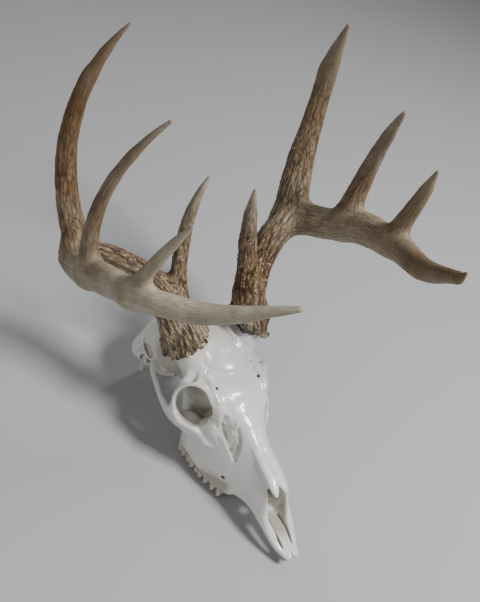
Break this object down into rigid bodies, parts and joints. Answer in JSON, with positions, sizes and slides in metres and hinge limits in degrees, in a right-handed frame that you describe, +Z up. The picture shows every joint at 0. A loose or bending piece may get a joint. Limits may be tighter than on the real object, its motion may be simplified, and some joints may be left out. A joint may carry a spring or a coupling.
{
  "type": "deer skull",
  "caption": "Whitened skull of an adult white-tailed buck with both branched antlers, without its lower jaw, resting on its cheek teeth.",
  "frame": {"origin": "middle of the bounding box in plan, at the level of the surface that the skull rests on", "axes": "+Z up, the nose towards -Y, the animal's left side towards +X"},
  "size_m": [0.3274, 0.339, 0.4218],
  "materials": {
    "bone": "whitened bone under a clear gloss coat",
    "antler": "tan antler, brown in the grooves near the base, worn pale at the tips"
  },
  "bodies": {
    "root": {"nose_bones": "bone", "nose_tip_left": "bone", "nose_tip_right": "bone", "cheek_arch_left": "bone", "cheek_arch_right": "bone", "upper_jaw": "bone", "forehead": "bone", "braincase": "bone", "antler_left_base": "antler", "antler_left_beam": "antler", "antler_left_beam_end": "antler", "antler_left_brow_tine": "antler", "antler_left_tine_2": "antler", "antler_left_tine_3": "antler", "antler_left_tine_4": "antler", "antler_right_base": "antler", "antler_right_beam": "antler", "antler_right_beam_end": "antler", "antler_right_brow_tine": "antler", "antler_right_tine_2": "antler", "antler_right_tine_3": "antler", "antler_right_tine_4": "antler"}
  },
  "joints": []
}
